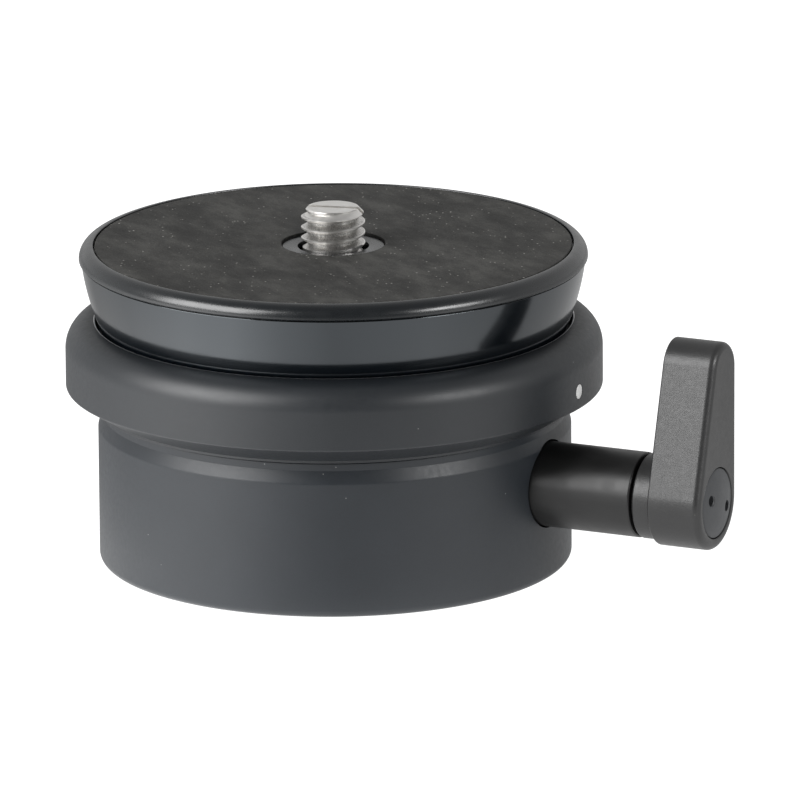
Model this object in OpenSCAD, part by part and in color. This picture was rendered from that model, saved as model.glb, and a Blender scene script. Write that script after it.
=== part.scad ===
// Half-ball leveling base with a locking lever.
// A platform on a hollow half ball tilts and turns in a spherical seat.
// A lever on a shaft with two eccentric lobes draws a piston down; the piston
// pulls a spherical shoe against the inside of the half ball and so clamps it
// between the shoe and the seat.
// Frame: millimetres, +Z up, origin at the mouth of the tripod socket in the
// underside, lever shaft along +X.

/* [Base] */
// Radius of the base body
base_r = 35; // [34.9:0.1:35.4]
// Radius of the rounded foot edge
foot_round = 1.1; // [0.6:0.1:1.4]
// Height at which the cylinder of the body ends and the shoulder starts
shoulder_z = 20.3; // [20:0.1:20.8]
// Height at which the shoulder ends and the neck starts
shoulder_top_z = 22.1; // [21.9:0.1:22.5]
// Radius of the neck of the body, above the shoulder
neck_r = 34.3; // [34.1:0.1:34.5]
// Height of the top face of the body, where the collar stands
body_top_z = 23.2; // [23:0.1:23.2]
// Thickness of the base plate
plate_bottom_t = 4; // [3.6:0.1:4]

/* [Collar] */
// Outer radius of the collar ring
ring_r = 39.7; // [39.4:0.1:40.4]
// Radius of the bottom of the shadow gap between the ring and the body
gap_r = 33.9; // [33.6:0.1:34]
// Height of the underside of the ring
ring_under_z = 23.5; // [23.4:0.1:23.8]
// Radius of the underside of the ring, inside its lower chamfer
ring_under_r = 35.3; // [34.8:0.1:36]
// Height at which the lower chamfer of the ring ends
ring_chamfer_z = 26.5; // [26.2:0.1:27]
// Height of the top of the ring
ring_top_z = 36.3; // [36.1:0.1:36.6]
// Radius of the rounded top edge of the ring
ring_round = 4.2; // [4:0.1:4.4]
// Diameter of the index dot
dot_d = 2.2; // [1.6:0.1:2.6]
// Height of the index dot
dot_z = 29.1; // [28.6:0.1:30.2]

/* [Half ball] */
// Outer radius of the half ball
ball_r = 37.5; // [37.4:0.02:37.52]
// Height of the centre of the half ball
ball_z = 50; // [49.9:0.1:50.1]
// Wall thickness of the half ball
ball_wall = 4; // [3.8:0.1:4]
// Height of the flat underside of the half ball
ball_cut_z = 27.5; // [27.5:0.1:28]
// Height of the top face of the half ball
ball_top_z = 45.2; // [45.1:0.1:45.2]

/* [Top plate] */
// Radius of the platform
plate_r = 37.55; // [37.5:0.01:37.6]
// Height of the lip around the pad
lip_z = 47.6; // [47.6:0.1:47.8]
// Radius of the rounded rim
rim_round = 1.95; // [1.7:0.05:1.95]
// Radius of the recess for the pad
recess_r = 35.45; // [35.3:0.05:35.5]
// Thickness of the pad
pad_t = 1.15; // [1:0.05:1.2]
// Diameter of the hole in the pad
pad_hole_d = 15.3; // [14:0.1:17]
// Depth of the raised face around the stud below the pad's top
face_drop = 0.4; // [0.2:0.05:0.6]
// Diameter of the well around the stud
well_d = 10.5; // [10.2:0.1:11.4]

/* [Stud] */
// Outside diameter of the stud thread
stud_d = 9.44; // [9.3:0.02:9.52]
// Height of the top of the stud
stud_top_z = 53; // [52.5:0.1:54]
// Width of the screwdriver slot
slot_w = 1; // [0.8:0.1:1.4]
// Depth of the screwdriver slot
slot_depth = 1.2; // [0.8:0.1:1.6]
// Direction of the screwdriver slot in plan
slot_angle = 14; // [0:1:180]

/* [Lever] */
// Height of the lever shaft
shaft_z = 14.6; // [14.4:0.1:14.6]
// Radius of the sleeve around the shaft
sleeve_r = 6.3; // [6.2:0.1:6.4]
// Outer end of the sleeve
sleeve_end_x = 50.3; // [49:0.1:51]
// Length of the hub between washer and lever
hub_len = 2.7; // [2.5:0.1:3.2]
// Thickness of the lever arm
arm_t = 8.25; // [7.8:0.05:8.6]
// Radius of the lever arm around the shaft
arm_r = 7; // [6.9:0.1:7.3]
// Radius of the lever arm at its tip
tip_r = 4.2; // [4:0.05:4.6]
// Height of the tip circle above the shaft
tip_up = 19.3; // [17:0.1:21]
// Sideways lean of the tip circle
tip_side = 2.9; // [0:0.1:3]
// Diameter of the pin-spanner cap
cap_d = 10.3; // [9.8:0.1:10.4]
// Radius of the crown of the cap
crown_r = 22; // [18:1:30]
// Distance of the pin-spanner holes from the shaft's axis
pin_hole_at = 2.98; // [2.6:0.02:3.2]

/* [Clamp] */
// Travel of the piston between locked and open
clamp_travel = 0.4; // [0.3:0.05:0.4]
// Angle through which the lever turns from locked to open
lever_turn = 100; // [90:5:110]
// Radius of the piston
piston_r = 14.5; // [14:0.1:14.5]
// Radius of the shaft
shaft_r = 3.5; // [3.4:0.05:3.5]
// Radius of the eccentric lobes
lobe_r = 4; // [3.95:0.05:4.05]

/* [Hidden] */
$fn = 96;
e = 0.02;                                   // screw-in-hole slack
ball_in = ball_r - ball_wall;               // inside of the half ball
liner_t = 1;
liner_out = ball_in - 0.15;
liner_in = liner_out - liner_t;
dome_r = liner_in - 0.15;                   // clamp shoe, on the ball's centre
seat_in = ball_r + 0.12;                    // seat liner
seat_out = seat_in + 1.26;
groove_r = seat_out + 0.12;
bore_ball_r = ball_r + 0.4;                 // inside of the collar
dome_top_z = ball_z - dome_r * sin(27.5);
dome_bot_z = ball_z - dome_r * sin(41);
pad_top_z = lip_z - 0.05;
recess_z = pad_top_z - pad_t;
plate_low_z = 44;
boss_low_z = 40;
cavity_r = 28.6;
floor_z = 20;
guide_r = 17;
spring_low_z = plate_bottom_t;
piston_low_z = 6.4;
piston_top_z = 21.2;
washer_t = 0.6;
hub_top_z = 32;                             // top of the dome's web
bore_thread = 7.94;                         // tapping size of the tripod thread
lock_angle = lever_turn / 2;                // lobe below the horizontal at rest
ecc = clamp_travel / (2 * sin(lock_angle)); // eccentricity of the lobes
lobe_y = ecc * cos(lock_angle);
lobe_z = shaft_z - ecc * sin(lock_angle);
washer_x = sleeve_end_x + 0.5;
arm_x = washer_x + hub_len;
arm_end_x = arm_x + arm_t;
pocket_x = 32;
screw_at = 30.3;                            // pitch radius of the collar screws
cap_rim_x = arm_end_x - 0.1;
pin_turn = 20.6;                            // direction of the pin-spanner holes

// --- shapes that repeat ---------------------------------------------------

// cylinder along +X from x0 to x1, on the height of the shaft
module xcyl(r, x0, x1, y = 0, z = shaft_z) {
    translate([x0, y, z]) rotate([0, 90, 0]) cylinder(r = r, h = x1 - x0);
}

// copies around Z
module around(n, r, a0 = 0) {
    for (i = [0 : n - 1]) rotate([0, 0, a0 + i * 360 / n]) translate([r, 0, 0]) children();
}

// plane wedge from the ball's centre between two angles below the horizontal
module wedge(a0, a1, r = 60) {
    polygon([[0, ball_z], [r * cos(a0), ball_z - r * sin(a0)],
             [r * cos((a0 + a1) / 2) * 1.02, ball_z - r * sin((a0 + a1) / 2) * 1.02],
             [r * cos(a1), ball_z - r * sin(a1)]]);
}

// spherical ring between two radii and two angles below the horizontal
module ball_zone(r_out, r_in, a0, a1) {
    rotate_extrude() intersection() {
        difference() {
            translate([0, ball_z]) circle(r = r_out);
            translate([0, ball_z]) circle(r = r_in);
        }
        wedge(a0, a1);
    }
}

// right half plane, for profiles cut from circles on the axis
module half_plane(z0, z1, r0 = 0, r1 = 60) {
    translate([r0, z0]) square([r1 - r0, z1 - z0]);
}

// countersunk screw, head up, head face at z = 0
module csk_screw(r, len, head_r, head_h, key) {
    difference() {
        union() {
            translate([0, 0, -head_h]) cylinder(r1 = r, r2 = head_r, h = head_h);
            translate([0, 0, -len]) cylinder(r = r, h = len - head_h + 0.001);
        }
        translate([0, 0, -head_h * 0.8]) cylinder(r = key, h = head_h, $fn = 6);
    }
}

module csk_hole(r, len, head_r, head_h) {
    translate([0, 0, -head_h]) cylinder(r1 = r, r2 = head_r, h = head_h);
    translate([0, 0, -len]) cylinder(r = r, h = len - head_h + 0.001);
    translate([0, 0, -0.001]) cylinder(r = head_r, h = 1);
}

// socket head screw, head down, seat of the head at z = 0, thread upwards
module cap_screw(r, len, head_r, head_h, key) {
    difference() {
        union() {
            translate([0, 0, -head_h]) cylinder(r = head_r, h = head_h);
            cylinder(r = r, h = len);
        }
        translate([0, 0, -head_h - 0.01]) cylinder(r = key, h = head_h * 0.6, $fn = 6);
    }
}

// grub screw with a hexagon socket, from z = 0 (point) to z = len (socket)
module grub(r, len) {
    difference() {
        cylinder(r = r, h = len);
        translate([0, 0, len * 0.55]) cylinder(r = r * 0.5, h = len, $fn = 6);
    }
}

// --- base -----------------------------------------------------------------

module base_body() {
    color([0.16, 0.165, 0.175]) difference() {
        rotate_extrude() {
            polygon([
                [base_r - foot_round, 0], [base_r - foot_round, foot_round], [base_r, foot_round],
                [base_r, shoulder_z], [neck_r, shoulder_top_z], [neck_r, body_top_z],
                [cavity_r, body_top_z], [cavity_r, floor_z],
                [guide_r, floor_z], [guide_r, plate_bottom_t],
                [32.7, plate_bottom_t], [32.7, 0]]);
            intersection() {
                translate([base_r - foot_round, foot_round]) circle(r = foot_round);
                half_plane(0, foot_round, base_r - foot_round);
            }
        }
        // bearing of the shaft and pocket of the sleeve, on the lever's side
        xcyl(4.5, guide_r - 2, pocket_x + 1);
        xcyl(sleeve_r + 0.25, pocket_x, base_r + 4);
        // blind bearing of the shaft's far end
        xcyl(shaft_r + 0.03, -26.2, -guide_r + 2);
        // collar screws
        around(4, screw_at, 45) {
            translate([0, 0, plate_bottom_t - 1]) cylinder(r = 1.35, h = 21);
            translate([0, 0, plate_bottom_t - 1]) cylinder(r = 2.35, h = 6.2);
        }
        // base plate screws
        around(3, 25, 90) translate([0, 0, plate_bottom_t - 1]) cylinder(r = 1.5 + e, h = 7.2);
    }
}

module base_plate() {
    color([0.15, 0.155, 0.165]) difference() {
        rotate_extrude() polygon([
            [6.8 + e, 0], [32.2, 0], [32.6, 0.4], [32.6, plate_bottom_t], [6.8 + e, plate_bottom_t]]);
        around(3, 25, 90) mirror([0, 0, 1]) csk_hole(1.5 + e, 6, 3 + e, 1.7);
    }
}

module base_plate_screws() {
    color([0.1, 0.1, 0.105]) around(3, 25, 90)
        mirror([0, 0, 1]) translate([0, 0, -0.05]) csk_screw(1.5, 9.6, 2.95, 1.65, 1.15);
}

module thread_insert() {
    color([0.7, 0.69, 0.66]) rotate_extrude() polygon([
        [bore_thread / 2, 0], [6.8, 0], [6.8, plate_bottom_t], [8.2, plate_bottom_t],
        [8.2, plate_bottom_t + 1.2], [6.8, plate_bottom_t + 1.2], [6.8, 10], [bore_thread / 2, 10]]);
}

module collar_screws() {
    color([0.1, 0.1, 0.105]) around(4, screw_at, 45)
        translate([0, 0, plate_bottom_t + 5.2]) cap_screw(1.25, 15.7, 2.25, 2.5, 1.05);
}

module guide_sleeve() {
    color([0.62, 0.5, 0.3]) difference() {
        translate([0, 0, plate_bottom_t]) cylinder(r = guide_r - e, h = floor_z - plate_bottom_t - 0.3);
        translate([0, 0, 0]) cylinder(r = piston_r + 0.06, h = 40);
        xcyl(lobe_r + ecc + 0.25, -guide_r - 1, guide_r + 1);
    }
}

module shaft_bush() {
    color([0.62, 0.5, 0.3]) difference() {
        xcyl(4.5 - e, guide_r + 0.2, pocket_x - 0.05);
        xcyl(shaft_r + 0.03, 0, 60);
    }
}

module disc_spring() {
    color([0.45, 0.45, 0.46]) rotate_extrude() polygon([
        [13.7, spring_low_z + 0.02], [14.1, spring_low_z + 0.55],
        [9.3, piston_low_z - 0.05], [8.9, piston_low_z - 0.58]]);
}

// --- collar ---------------------------------------------------------------

module collar_ring() {
    color([0.15, 0.155, 0.165]) difference() {
        rotate_extrude() difference() {
            union() {
                polygon([[27.6, floor_z + 0.5], [cavity_r - 0.05, floor_z + 0.5],
                         [cavity_r - 0.05, body_top_z], [gap_r, body_top_z],
                         [gap_r, ring_under_z], [ring_under_r, ring_under_z],
                         [ring_r, ring_chamfer_z], [ring_r, ring_top_z - ring_round],
                         [ring_r - ring_round, ring_top_z - ring_round],
                         [ring_r - ring_round, ring_top_z], [27.6, ring_top_z]]);
                translate([ring_r - ring_round, ring_top_z - ring_round]) circle(r = ring_round);
            }
            // spherical inside, with the groove of the seat liner
            translate([0, ball_z]) circle(r = bore_ball_r);
            intersection() {
                translate([0, ball_z]) circle(r = groove_r);
                wedge(23.5, 34.5);
            }
        }
        // screws from below
        around(4, screw_at, 45) translate([0, 0, body_top_z - 1]) cylinder(r = 1.25 + e, h = 3);
        // seat of the index dot
        xcyl(dot_d / 2 + e, ring_r - 0.4, ring_r + 2, z = dot_z);
    }
}

module index_dot() {
    color([0.92, 0.92, 0.92]) intersection() {
        xcyl(dot_d / 2, ring_r - 0.4, ring_r + 2, z = dot_z);
        cylinder(r = ring_r - 0.03, h = 50, $fn = 1440);
    }
}

module seat_liner() {
    color([0.07, 0.07, 0.072]) ball_zone(seat_out, seat_in, 24, 34);
}

// --- platform ---------------------------------------------------------------

module half_ball() {
    color([0.14, 0.15, 0.17]) difference() {
        rotate_extrude() difference() {
            intersection() {
                translate([0, ball_z]) circle(r = ball_r);
                half_plane(ball_cut_z, ball_top_z);
            }
            intersection() {
                translate([0, ball_z]) circle(r = ball_in);
                half_plane(ball_cut_z - 1, 43.8, -1);
            }
            half_plane(43.7, ball_top_z + 1, -1, 31.9);
        }
        around(8, 33.45, 22.5) translate([0, 0, 43.4]) cylinder(r = 1 + e, h = 3);
    }
}

module top_plate() {
    color([0.12, 0.13, 0.15]) difference() {
        rotate_extrude() difference() {
            union() {
                polygon([[0, boss_low_z], [9, boss_low_z], [9, plate_low_z], [31.85, plate_low_z],
                         [31.85, ball_top_z], [plate_r - 0.8, ball_top_z], [plate_r - 0.8, ball_top_z + 0.2],
                         [plate_r - 0.2, ball_top_z + 0.2], [plate_r, ball_top_z + 0.4],
                         [plate_r, lip_z - rim_round], [plate_r - rim_round, lip_z - rim_round],
                         [plate_r - rim_round, lip_z], [0, lip_z]]);
                intersection() {
                    translate([plate_r - rim_round, lip_z - rim_round]) circle(r = rim_round);
                    half_plane(lip_z - rim_round, lip_z + 1, plate_r - rim_round);
                }
            }
            half_plane(recess_z, lip_z + 1, pad_hole_d / 2 - 0.1, recess_r);
            half_plane(pad_top_z - face_drop, lip_z + 1, -1, recess_r);
            half_plane(44.6, lip_z, -1, well_d / 2);
            half_plane(boss_low_z - 1, 45, -1, 4 + e);
        }
        around(8, 33.45, 22.5) translate([0, 0, recess_z]) csk_hole(1 + e, 3, 1.9 + e, 0.95);
        // grub screw that locks the stud
        translate([0, 0, 42]) rotate([-90, 0, 0]) cylinder(r = 1.5 + e, h = 12);
    }
}

module plate_screws() {
    color([0.1, 0.1, 0.105]) around(8, 33.45, 22.5)
        translate([0, 0, recess_z - 0.05]) csk_screw(1, 2.95, 1.85, 0.9, 0.6);
}

module grip_pad() {
    color([0.1, 0.098, 0.095]) difference() {
        translate([0, 0, recess_z]) cylinder(r = recess_r - 0.25, h = pad_t);
        translate([0, 0, recess_z - 1]) cylinder(d = pad_hole_d, h = pad_t + 2);
    }
}

module camera_stud() {
    color([0.72, 0.71, 0.69]) difference() {
        union() {
            translate([0, 0, boss_low_z + 0.2]) cylinder(r = 4, h = 4.5);
            translate([0, 0, 44.6]) cylinder(r = 4.15, h = 0.7);
            translate([0, 0, 45.2]) cylinder(r = stud_d / 2 - 0.2, h = lip_z - 45.1);
            translate([0, 0, lip_z]) cylinder(d = stud_d, h = stud_top_z - 1 - lip_z);
            translate([0, 0, stud_top_z - 1]) cylinder(d1 = stud_d, d2 = stud_d - 1.94, h = 1);
        }
        rotate([0, 0, slot_angle]) translate([-10, -slot_w / 2, stud_top_z - slot_depth])
            cube([20, slot_w, 5]);
    }
}

module stud_set_screw() {
    color([0.1, 0.1, 0.105]) translate([0, 4 + e, 42]) rotate([-90, 0, 0]) grub(1.5, 4.2);
}

// --- clamp ------------------------------------------------------------------

module clamp_liner() {
    color([0.07, 0.07, 0.072]) ball_zone(liner_out, liner_in, 22, 41.5);
}

module clamp_dome() {
    color([0.55, 0.56, 0.58]) rotate_extrude() difference() {
        intersection() {
            translate([0, ball_z]) circle(r = dome_r);
            half_plane(dome_bot_z, dome_top_z);
        }
        intersection() {
            translate([0, ball_z]) circle(r = dome_r - 3.6);
            half_plane(hub_top_z, dome_top_z + 1, -1);
        }
        half_plane(dome_bot_z - 1, hub_top_z + 1, -1, 4 + 0.1);
    }
}

module draw_piston() {
    color([0.5, 0.5, 0.51]) difference() {
        rotate_extrude() polygon([
            [4 + e, 19.4], [7.6, 19.4], [7.6, piston_low_z], [piston_r, piston_low_z],
            [piston_r, piston_top_z], [7, piston_top_z], [7, dome_bot_z], [4 + e, dome_bot_z]]);
        // cross window for the lobes, a little wider than it is high
        for (s = [-1, 1])
            xcyl(lobe_r + 0.06, -piston_r - 1, piston_r + 1, y = lobe_y + s * 0.3, z = lobe_z);
        translate([-piston_r - 1, lobe_y - 0.3, lobe_z - lobe_r - 0.06])
            cube([2 * piston_r + 2, 0.6, 2 * lobe_r + 0.12]);
    }
}

module bolt_washer() {
    color([0.6, 0.6, 0.61]) difference() {
        translate([0, 0, hub_top_z]) cylinder(r = 8, h = washer_t);
        translate([0, 0, hub_top_z - 1]) cylinder(r = 4.2, h = washer_t + 2);
    }
}

module draw_bolt() {
    color([0.3, 0.3, 0.31]) difference() {
        union() {
            translate([0, 0, hub_top_z + washer_t]) cylinder(r = 6.5, h = 3.6);
            translate([0, 0, 20.4]) cylinder(r = 4, h = hub_top_z + washer_t - 20.4 + 0.001);
        }
        translate([0, 0, hub_top_z + washer_t + 1.2]) cylinder(r = 2.9, h = 5, $fn = 6);
    }
}

// --- lever ------------------------------------------------------------------

module cam_shaft() {
    color([0.6, 0.6, 0.61]) difference() {
        union() {
            xcyl(shaft_r, -26, washer_x);
            // two flats that drive the lever
            intersection() {
                xcyl(shaft_r, washer_x - 1, arm_x + 3);
                translate([0, -2.8, 0]) cube([100, 5.6, 40]);
            }
            for (x = [-14.2, 7.9]) xcyl(lobe_r, x, x + 6.3, y = lobe_y, z = lobe_z);
        }
        xcyl(2 + e, arm_x - 8.5, arm_x + 4);
    }
}

module lever_sleeve() {
    color([0.05, 0.05, 0.052]) difference() {
        translate([0, 0, shaft_z]) rotate([0, 90, 0]) rotate_extrude() polygon([
            [shaft_r + e, pocket_x + 0.3], [sleeve_r, pocket_x + 0.3], [sleeve_r, sleeve_end_x - 0.3],
            [sleeve_r - 0.3, sleeve_end_x], [shaft_r + e, sleeve_end_x]]);
        translate([41, 0, 0]) cylinder(r = 1.5 + e, h = shaft_z);
    }
}

module sleeve_set_screw() {
    color([0.1, 0.1, 0.105]) translate([41, 0, shaft_z - shaft_r - e]) mirror([0, 0, 1]) grub(1.5, 2.5);
}

module thrust_washer() {
    color([0.04, 0.04, 0.042]) difference() {
        xcyl(sleeve_r - 0.9, sleeve_end_x, washer_x);
        xcyl(shaft_r + 0.05, sleeve_end_x - 1, washer_x + 1);
    }
}

// outline of the arm, drawn in by d from its edge
module arm_slice(x0, x1, d) {
    xcyl(arm_r - d, x0, x1, $fn = 48);
    xcyl(tip_r - d, x0, x1, y = tip_side, z = shaft_z + tip_up, $fn = 48);
}

module lever_arm() {
    color([0.17, 0.175, 0.18]) difference() {
        union() {
            xcyl(sleeve_r, washer_x, arm_x + 1);
            hull() {
                arm_slice(arm_x, arm_x + 0.05, 0.3);
                arm_slice(arm_x + 0.09, arm_x + 0.12, 0.1);
                arm_slice(arm_x + 0.3, arm_end_x - 1.1, 0);
                arm_slice(arm_end_x - 0.34, arm_end_x - 0.32, 0.32);
                arm_slice(arm_end_x - 0.05, arm_end_x, 1.05);
            }
        }
        // seat of the two flats, seat of the cap
        intersection() {
            xcyl(shaft_r + e, washer_x - 1, arm_x + 3.2);
            translate([0, -2.8 - e, 0]) cube([100, 5.6 + 2 * e, 40]);
        }
        xcyl(cap_d / 2 + 0.12, arm_x + 3.2, arm_end_x + 1);
    }
}

module lever_cap() {
    color([0.1, 0.102, 0.105]) difference() {
        translate([0, 0, shaft_z]) rotate([0, 90, 0]) rotate_extrude() {
            // crowned head
            intersection() {
                half_plane(arm_x + 3.25, arm_end_x + 3, 0, cap_d / 2);
                translate([0, cap_rim_x - sqrt(crown_r * crown_r - cap_d * cap_d / 4)]) circle(r = crown_r, $fn = 480);
            }
            // stem
            half_plane(arm_x - 7.5, arm_x + 3.3, 0, 2);
        }
        // the two holes of the pin spanner
        for (s = [-1, 1])
            xcyl(0.8, arm_end_x - 2.3, arm_end_x + 2, y = s * pin_hole_at * cos(pin_turn),
                 z = shaft_z - s * pin_hole_at * sin(pin_turn));
    }
}

base_body();
collar_ring();
index_dot();
base_plate();
base_plate_screws();
thread_insert();
collar_screws();
guide_sleeve();
shaft_bush();
disc_spring();
seat_liner();
clamp_liner();
half_ball();
top_plate();
plate_screws();
grip_pad();
camera_stud();
stud_set_screw();
draw_piston();
draw_bolt();
bolt_washer();
clamp_dome();
cam_shaft();
lever_sleeve();
sleeve_set_screw();
thrust_washer();
lever_arm();
lever_cap();
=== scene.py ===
import math

import bmesh
import bpy
from mathutils import Matrix, Vector


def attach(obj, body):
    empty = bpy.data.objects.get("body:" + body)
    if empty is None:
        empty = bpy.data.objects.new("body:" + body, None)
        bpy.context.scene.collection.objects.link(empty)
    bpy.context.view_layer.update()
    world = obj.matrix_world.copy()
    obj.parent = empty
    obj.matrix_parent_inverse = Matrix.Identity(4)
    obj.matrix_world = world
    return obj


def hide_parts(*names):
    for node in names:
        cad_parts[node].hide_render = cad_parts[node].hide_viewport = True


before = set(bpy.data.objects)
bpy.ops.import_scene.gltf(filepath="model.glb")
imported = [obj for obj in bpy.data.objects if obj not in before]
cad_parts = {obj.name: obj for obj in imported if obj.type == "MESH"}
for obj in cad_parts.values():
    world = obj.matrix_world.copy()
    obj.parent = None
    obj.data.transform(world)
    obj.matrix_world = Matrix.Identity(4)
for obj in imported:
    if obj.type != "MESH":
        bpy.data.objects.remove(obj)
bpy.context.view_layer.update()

MM = 0.001
SEG = 256                      # steps round a large turned piece
scene = bpy.context.scene

# Driving dimensions, millimetres, the same as the CAD frame's
SHAFT_Z = 14.6
BALL_Z = 50.0
BALL_R = 37.5
RING_R = 39.7
RING_ROUND = 4.2
RING_TOP = 36.3
DOT_Z = 29.1
LIP_Z = 47.6
RECESS_Z = 46.4
ARM_X = 53.5
ARM_END = 61.75


# --------------------------------------------------------------------------
# mesh helpers
# --------------------------------------------------------------------------

def link(name, mesh):
    obj = bpy.data.objects.new(name, mesh)
    scene.collection.objects.link(obj)
    return obj


def rounded(corners, step=7.0):
    """Closed outline from (r, z) or (r, z, radius) corners, with the radii put in."""
    out = []
    n = len(corners)
    for i, c in enumerate(corners):
        p = Vector(c[:2])
        radius = c[2] if len(c) > 2 else 0.0
        if radius <= 0:
            out.append(p)
            continue
        a = (Vector(corners[i - 1][:2]) - p).normalized()
        b = (Vector(corners[(i + 1) % n][:2]) - p).normalized()
        angle = a.angle(b)
        back = radius / math.tan(angle / 2)
        centre = p + (a + b).normalized() * (radius / math.sin(angle / 2))
        s, t = p + a * back - centre, p + b * back - centre
        a0 = math.atan2(s.y, s.x)
        sweep = math.atan2(t.y, t.x) - a0
        sweep = (sweep + math.pi) % (2 * math.pi) - math.pi
        k = max(3, math.ceil(abs(math.degrees(sweep)) / step))
        for j in range(k + 1):
            ang = a0 + sweep * j / k
            out.append(centre + radius * Vector((math.cos(ang), math.sin(ang))))
    return out


def arc(r0, z0, radius, a0, a1, n):
    """Points of an arc about (r0, z0), from a0 to a1 degrees."""
    return [(r0 + radius * math.cos(math.radians(a0 + (a1 - a0) * i / n)),
             z0 + radius * math.sin(math.radians(a0 + (a1 - a0) * i / n))) for i in range(n + 1)]


def sphere_r(radius, z):
    return math.sqrt(radius * radius - (BALL_Z - z) ** 2)


def turn_point(r, h, t, axis, at):
    c, s = math.cos(t), math.sin(t)
    v = Vector((r * c, r * s, h)) if axis == "Z" else Vector((h, r * c, r * s))
    return (v + Vector(at)) * MM


def turned(name, outline, seg=SEG, axis="Z", at=(0, 0, 0), crease=30.0, normals=True):
    """A closed outline turned about an axis, with its true normals on every corner."""
    pts = [Vector(p[:2]) for p in outline]
    crest_mask = []
    for p in pts:
        if not crest_mask or (p - crest_mask[-1]).length > 1e-5:
            crest_mask.append(p)
    if (crest_mask[0] - crest_mask[-1]).length < 1e-5:
        crest_mask.pop()
    pts = crest_mask
    n = len(pts)
    area = sum(pts[i].x * pts[(i + 1) % n].y - pts[(i + 1) % n].x * pts[i].y for i in range(n))
    if area < 0:
        pts.reverse()
    edges = [pts[(i + 1) % n] - pts[i] for i in range(n)]
    lens = [e.length for e in edges]
    face_n = [Vector((e.y, -e.x)).normalized() for e in edges]
    start, end = [None] * n, [None] * n
    for i in range(n):
        before, after = face_n[i - 1], face_n[i]
        if before.angle(after) > math.radians(crease):
            end[i - 1], start[i] = before, after
        else:
            mix = (before * lens[i - 1] + after * lens[i]).normalized()
            end[i - 1], start[i] = mix, mix
    verts, index = [], []
    for p in pts:
        if p.x < 1e-6:
            index.append([len(verts)] * seg)
            verts.append(turn_point(0, p.y, 0, axis, at))
        else:
            index.append(list(range(len(verts), len(verts) + seg)))
            verts += [turn_point(p.x, p.y, 2 * math.pi * j / seg, axis, at) for j in range(seg)]
    faces, loops = [], []

    def normal(v, j):
        t = 2 * math.pi * j / seg
        c, s = math.cos(t), math.sin(t)
        return Vector((v.x * c, v.x * s, v.y)) if axis == "Z" else Vector((v.y, v.x * c, v.x * s))

    for i in range(n):
        k = (i + 1) % n
        if pts[i].x < 1e-6 and pts[k].x < 1e-6:
            continue
        for j in range(seg):
            m = (j + 1) % seg
            corner = [(index[i][j], normal(start[i], j)), (index[i][m], normal(start[i], j + 1)),
                      (index[k][m], normal(end[i], j + 1)), (index[k][j], normal(end[i], j))]
            seen, kept = set(), []
            for v, nn in corner:
                if v not in seen:
                    seen.add(v)
                    kept.append((v, nn))
            faces.append([v for v, _ in kept])
            loops += [nn for _, nn in kept]
    mesh = bpy.data.meshes.new(name)
    mesh.from_pydata(verts, [], faces)
    mesh.shade_smooth()
    if normals:
        mesh.normals_split_custom_set(loops)
    return link(name, mesh)


def rod(r, h0, h1, seg=96, axis="Z", at=(0, 0, 0)):
    """A cutter."""
    return turned("cutter", [(0, h0), (r, h0), (r, h1), (0, h1)], seg, axis, at, normals=False)


def prism(sides, r, h0, h1, at=(0, 0, 0), turn=0.0, axis="Z"):
    pts = [(r, h0), (r, h1)]
    obj = turned("cutter", [(0, h0), pts[0], pts[1], (0, h1)], sides, axis, (0, 0, 0), normals=False)
    obj.data.transform(Matrix.Rotation(math.radians(turn), 4, axis))
    obj.data.transform(Matrix.Translation(Vector(at) * MM))
    return obj


def block(size, at, turn=0.0):
    mesh = bpy.data.meshes.new("cutter")
    bm = bmesh.new()
    bmesh.ops.create_cube(bm, size=1.0)
    bmesh.ops.scale(bm, vec=Vector(size) * MM, verts=bm.verts)
    bm.to_mesh(mesh)
    bm.free()
    mesh.transform(Matrix.Rotation(math.radians(turn), 4, "Z"))
    mesh.transform(Matrix.Translation(Vector(at) * MM))
    return link("cutter", mesh)


def shade(obj, angle=30.0):
    """Sharp edges by angle, and normals that follow the large faces."""
    mesh = obj.data
    mesh.shade_smooth()
    mesh.set_sharp_from_angle(angle=math.radians(angle))
    mod = obj.modifiers.new("weighted", "WEIGHTED_NORMAL")
    mod.mode = "FACE_AREA"
    mod.weight = 50
    mod.keep_sharp = True
    bake(obj)
    return obj


def bake(obj):
    """Puts the modifiers' result into the mesh."""
    bpy.context.view_layer.update()
    dg = bpy.context.evaluated_depsgraph_get()
    mesh = bpy.data.meshes.new_from_object(obj.evaluated_get(dg))
    old = obj.data
    obj.modifiers.clear()
    obj.data = mesh
    mesh.name = obj.name
    bpy.data.meshes.remove(old)


def cut(obj, cutters, angle=30.0, operation="DIFFERENCE"):
    """Boolean cuts, one after the other, then clean shading."""
    for c in cutters:
        mod = obj.modifiers.new("cut", "BOOLEAN")
        mod.operation = operation
        mod.solver = "EXACT"
        mod.object = c
    bake(obj)
    for c in cutters:
        mesh = c.data
        bpy.data.objects.remove(c)
        bpy.data.meshes.remove(mesh)
    bm = bmesh.new()
    bm.from_mesh(obj.data)
    bmesh.ops.remove_doubles(bm, verts=bm.verts, dist=1e-8)
    bmesh.ops.dissolve_degenerate(bm, edges=bm.edges, dist=1e-8)
    bm.to_mesh(obj.data)
    bm.free()
    return shade(obj, angle)


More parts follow.
